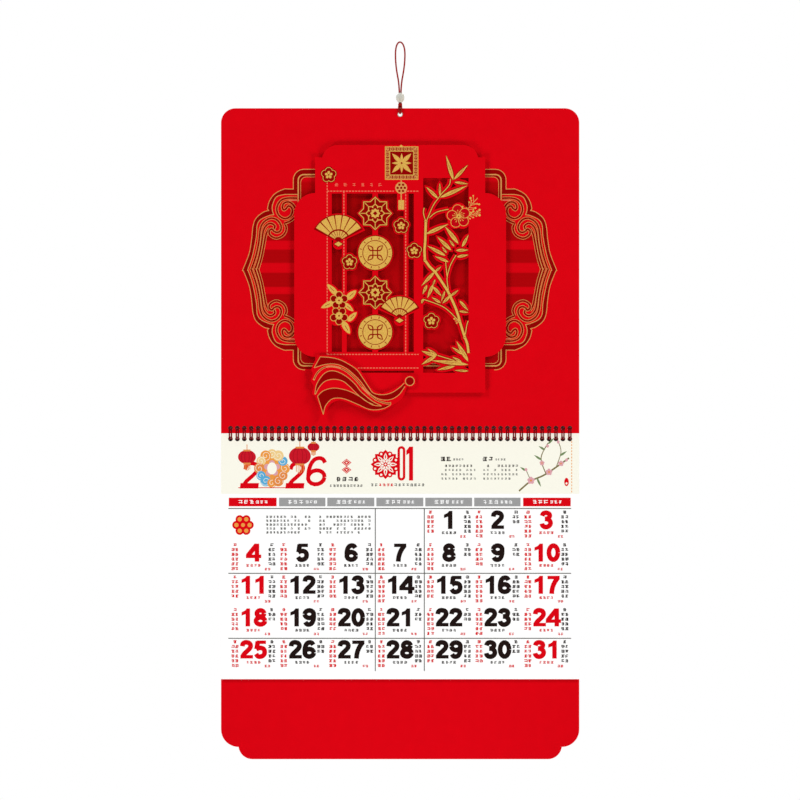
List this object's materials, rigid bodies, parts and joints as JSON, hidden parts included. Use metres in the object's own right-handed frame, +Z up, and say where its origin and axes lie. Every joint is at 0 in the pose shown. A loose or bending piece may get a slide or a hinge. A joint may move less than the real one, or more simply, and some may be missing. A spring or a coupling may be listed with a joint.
{
  "type": "wall calendar",
  "caption": "Hanging wall calendar: a header board with a raised die-cut plaque above month pages and a back board, all bound on a twin-loop wire and hung from a cord loop.",
  "frame": {"origin": "the point where a nail carries the top of the cord loop, in the middle plane of the header board", "axes": "+Z up along the hanging calendar, +Y back to the wall, +X to the right as seen from the front"},
  "size_m": [0.438, 0.0153, 0.8779],
  "materials": {
    "header_red": "satin",
    "plaque_red": "satin",
    "ribbon_red": "satin",
    "page_paper": "matte",
    "back_red": "satin",
    "wire_coating": "gloss",
    "cord_fibre": "matte",
    "pearl": "gloss"
  },
  "bodies": {
    "header": {"header_board": "header_red", "plaque": "plaque_red", "plaque_spacer": "plaque_red", "ribbon_applique": "ribbon_red", "ribbon_spacer": "ribbon_red", "twin_loop_wire": "wire_coating", "hanging_cord": "cord_fibre", "pearl_bead": "pearl", "cord_knot": "cord_fibre"},
    "pages": {"page_block": "page_paper"},
    "back": {"back_board": "back_red"}
  },
  "joints": [
    {"name": "pages_turn", "type": "hinge", "parent": "header", "child": "pages", "pos_m": [0, -0.0015, -0.47805], "axis": [-1, 0, 0], "range_deg": [0, 165]},
    {"name": "back_swing", "type": "hinge", "parent": "header", "child": "back", "pos_m": [0, -0.0015, -0.47805], "axis": [1, 0, 0], "range_deg": [0, 35]}
  ]
}
